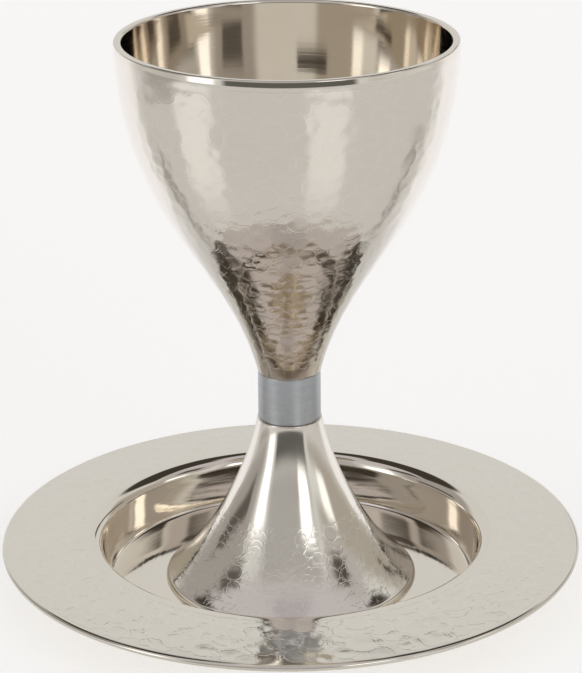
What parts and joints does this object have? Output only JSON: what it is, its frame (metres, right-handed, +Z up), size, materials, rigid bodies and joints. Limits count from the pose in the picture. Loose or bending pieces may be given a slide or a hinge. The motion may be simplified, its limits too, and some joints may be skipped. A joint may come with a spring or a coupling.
{
  "type": "kiddush cup",
  "caption": "Stemmed tulip-shaped goblet in hammered bright metal with a plain satin collar, standing in the sunken well of its round hammered saucer.",
  "frame": {"origin": "centre of the saucer's flat underside, on the surface it stands on", "axes": "+Z up along the cup's own axis; the piece is turned, so +X and +Y are any two level directions at right angles"},
  "size_m": [0.15, 0.15, 0.1452],
  "materials": {
    "hammered_nickel": "hammered and polished, plated bright nickel",
    "satin_aluminium": "turned, satin anodised"
  },
  "bodies": {
    "root": {"bowl": "hammered_nickel", "collar": "satin_aluminium", "foot": "hammered_nickel", "saucer": "hammered_nickel"}
  },
  "joints": []
}
